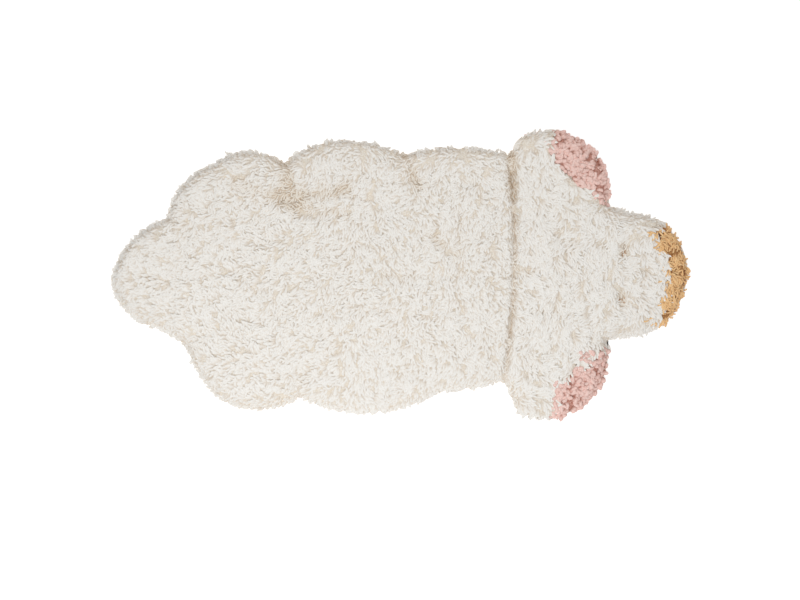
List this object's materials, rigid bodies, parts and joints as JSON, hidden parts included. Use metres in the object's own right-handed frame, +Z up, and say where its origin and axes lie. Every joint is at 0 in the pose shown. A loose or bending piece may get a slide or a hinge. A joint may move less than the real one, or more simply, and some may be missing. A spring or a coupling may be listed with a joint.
{
  "type": "kids rug",
  "caption": "Flat animal-shaped shag rug for a child's room: cream pile body with a scalloped edge, sewn-on head with pink pile inside the ears and a tan muzzle.",
  "frame": {"origin": "middle of the rug on the floor it lies on", "axes": "+X along the rug towards the muzzle, +Y towards the animal's left ear, +Z up out of the pile"},
  "size_m": [1.3958, 0.6986, 0.0445],
  "materials": {
    "cream_pile": "soft twisted cotton shag, matt",
    "pink_pile": "soft curled cotton shag, matt",
    "tan_pile": "twisted cotton shag, matt"
  },
  "bodies": {
    "root": {"body_pile": "cream_pile", "head_pile": "cream_pile", "ear_patch_left": "pink_pile", "ear_patch_right": "pink_pile", "muzzle_patch": "tan_pile"}
  },
  "joints": []
}
